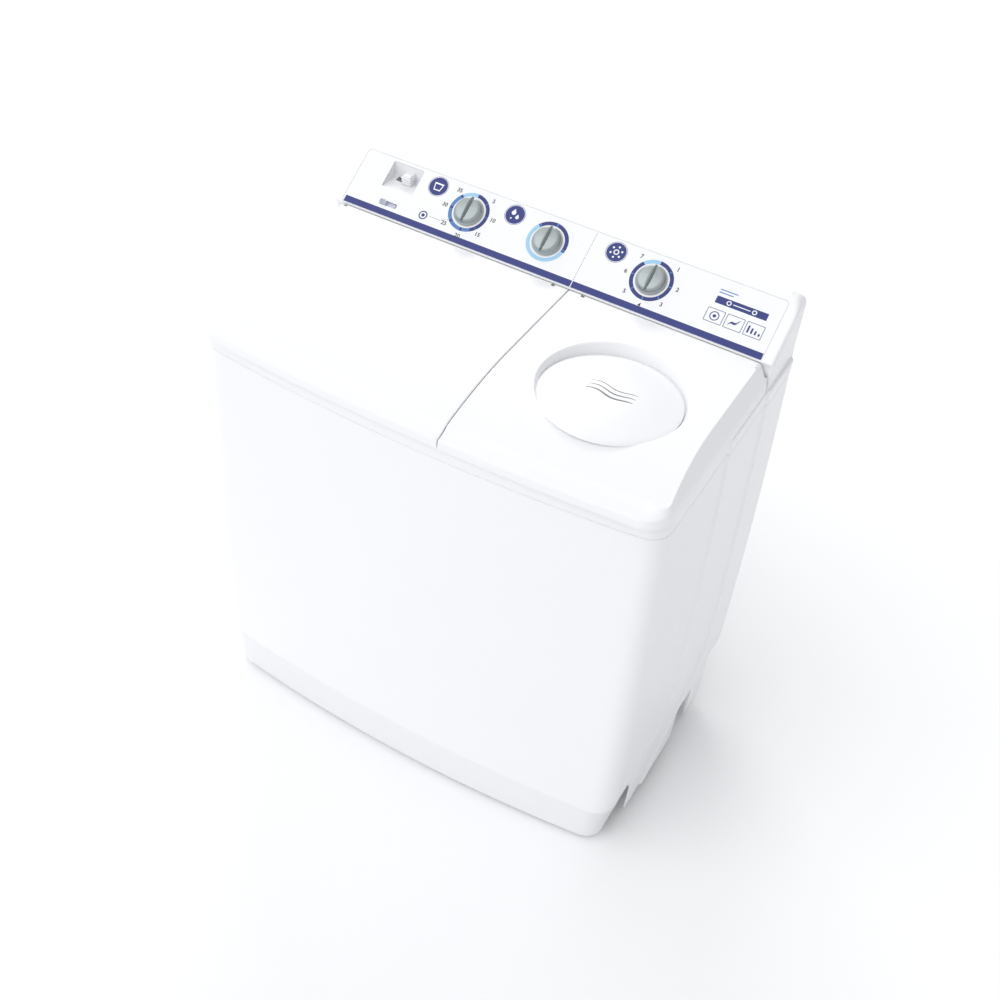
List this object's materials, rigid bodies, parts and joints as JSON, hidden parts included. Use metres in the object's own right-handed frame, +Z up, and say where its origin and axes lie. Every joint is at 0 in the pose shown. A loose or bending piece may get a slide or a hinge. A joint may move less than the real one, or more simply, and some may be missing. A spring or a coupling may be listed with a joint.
{
  "type": "twin tub washer",
  "caption": "Free-standing washer with a wash tub and pulsator on the left, a spin basket on the right, hinged lids and a sloping control panel with dials.",
  "frame": {"origin": "on the floor, under the middle of the machine", "axes": "+X to the right seen from the front, +Y to the back, +Z up"},
  "size_m": [0.9564, 0.59, 1.056],
  "materials": {
    "white_shell": "glossy moulded",
    "base_grey": "fine matt moulded",
    "tub_white": "satin moulded",
    "fascia_print": "satin film with printed rings and scales",
    "knob_silver": "satin silver paint",
    "blue_plastic": "satin moulded",
    "steel": "bright drawn",
    "basket_plastic": "satin moulded, perforated",
    "zinc_steel": "zinc plated",
    "motor_grey": "dull laminations and end bells",
    "bearing_alloy": "as cast",
    "rubber": "matt",
    "dark_plastic": "matt moulded"
  },
  "bodies": {
    "cabinet": {"cabinet_shell": "white_shell", "base_frame": "base_grey", "foot_front_left": "rubber", "foot_front_right": "rubber", "foot_rear_left": "rubber", "foot_rear_right": "rubber", "top_frame": "white_shell", "back_cover": "base_grey", "back_cover_screw_1": "zinc_steel", "back_cover_screw_2": "zinc_steel", "back_cover_screw_3": "zinc_steel", "back_cover_screw_4": "zinc_steel", "control_housing": "white_shell", "control_fascia": "fascia_print", "inlet_funnel": "tub_white", "cord_gland": "dark_plastic", "wash_timer": "dark_plastic", "selector_switch": "dark_plastic", "spin_timer": "dark_plastic", "wash_tub": "tub_white", "pulsator_bearing_housing": "bearing_alloy", "drive_belt": "rubber", "wash_motor": "motor_grey", "wash_motor_bracket": "zinc_steel", "spin_outer_tub": "tub_white", "brake_pivot": "zinc_steel", "spin_bellows": "rubber", "spin_motor": "motor_grey", "spin_motor_plate": "zinc_steel", "suspension_spring_1": "steel", "suspension_spring_2": "steel", "suspension_spring_3": "steel", "drain_valve_body": "base_grey", "drain_pipe": "base_grey", "drain_outlet": "dark_plastic", "overflow_cover": "tub_white"},
    "wash_lid": {"wash_lid": "white_shell", "wash_lid_hinge_rod": "steel"},
    "spin_lid": {"spin_lid": "white_shell", "spin_lid_dome": "white_shell", "spin_lid_hinge_rod": "steel"},
    "safety_cover": {"safety_cover": "blue_plastic"},
    "agitator": {"pulsator": "blue_plastic", "pulsator_shaft": "steel", "pulsator_pulley": "bearing_alloy"},
    "motor_drive": {"motor_pulley": "zinc_steel", "wash_motor_shaft": "steel"},
    "basket": {"spin_basket": "basket_plastic", "spin_shaft": "steel", "brake_drum": "zinc_steel"},
    "brake_lever": {"brake_lever": "zinc_steel"},
    "wash_dial": {"wash_knob": "knob_silver", "wash_dial_shaft": "steel"},
    "selector_dial": {"selector_knob": "knob_silver", "selector_dial_shaft": "steel"},
    "spin_dial": {"spin_knob": "knob_silver", "spin_dial_shaft": "steel"},
    "inlet_slider": {"inlet_slider": "blue_plastic"},
    "drain_plunger": {"drain_plunger": "rubber"},
    "lint_filter": {"lint_filter": "blue_plastic"}
  },
  "joints": [
    {"name": "wash_lid_hinge", "type": "hinge", "parent": "cabinet", "child": "wash_lid", "pos_m": [-0.2, 0.1535, 0.971], "axis": [-1, 0, 0], "range_deg": [0, 92]},
    {"name": "spin_lid_hinge", "type": "hinge", "parent": "cabinet", "child": "spin_lid", "pos_m": [0.26, 0.1535, 0.971], "axis": [-1, 0, 0], "range_deg": [0, 92]},
    {"name": "safety_cover_hinge", "type": "hinge", "parent": "cabinet", "child": "safety_cover", "pos_m": [0.26, 0.108, 0.9144], "axis": [-1, 0, 0], "range_deg": [0, 85.1]},
    {"name": "pulsator_spin", "type": "hinge", "parent": "cabinet", "child": "agitator", "pos_m": [-0.205, -0.05, 0.4], "axis": [0, 0, 1], "continuous": true},
    {"name": "motor_spin", "type": "hinge", "parent": "cabinet", "child": "motor_drive", "pos_m": [-0.055, 0.075, 0.25], "axis": [0, 0, 1], "continuous": true},
    {"name": "basket_spin", "type": "hinge", "parent": "cabinet", "child": "basket", "pos_m": [0.26, -0.06, 0.4], "axis": [0, 0, 1], "continuous": true},
    {"name": "brake_lever_swing", "type": "hinge", "parent": "cabinet", "child": "brake_lever", "pos_m": [0.331, 0.01, 0.271], "axis": [0, 0, -1], "range_deg": [0, 2.05]},
    {"name": "wash_dial_turn", "type": "hinge", "parent": "cabinet", "child": "wash_dial", "pos_m": [-0.1915, 0.21822, 1.01946], "axis": [0, 0.5592, -0.829], "range_deg": [0, 320]},
    {"name": "selector_dial_turn", "type": "hinge", "parent": "cabinet", "child": "selector_dial", "pos_m": [-0.021, 0.21822, 1.01946], "axis": [0, 0.5592, -0.829], "range_deg": [-50, 105]},
    {"name": "spin_dial_turn", "type": "hinge", "parent": "cabinet", "child": "spin_dial", "pos_m": [0.1945, 0.21822, 1.01946], "axis": [0, 0.5592, -0.829], "range_deg": [0, 320]},
    {"name": "inlet_slide", "type": "slide", "parent": "cabinet", "child": "inlet_slider", "axis": [1, 0, 0], "range_m": [0, 0.022]},
    {"name": "drain_plunger_lift", "type": "slide", "parent": "cabinet", "child": "drain_plunger", "axis": [0, 0, 1], "range_m": [0, 0.008], "stiffness_N_per_m": 120},
    {"name": "lint_filter_lift", "type": "slide", "parent": "cabinet", "child": "lint_filter", "axis": [0, 0, 1], "range_m": [0, 0.06]}
  ],
  "couplings": [
    {"joint": "safety_cover_hinge", "follows": "spin_lid_hinge", "ratio": 0.92391},
    {"joint": "brake_lever_swing", "follows": "spin_lid_hinge", "ratio": 0.02174},
    {"joint": "motor_spin", "follows": "pulsator_spin", "ratio": 4.3182}
  ]
}
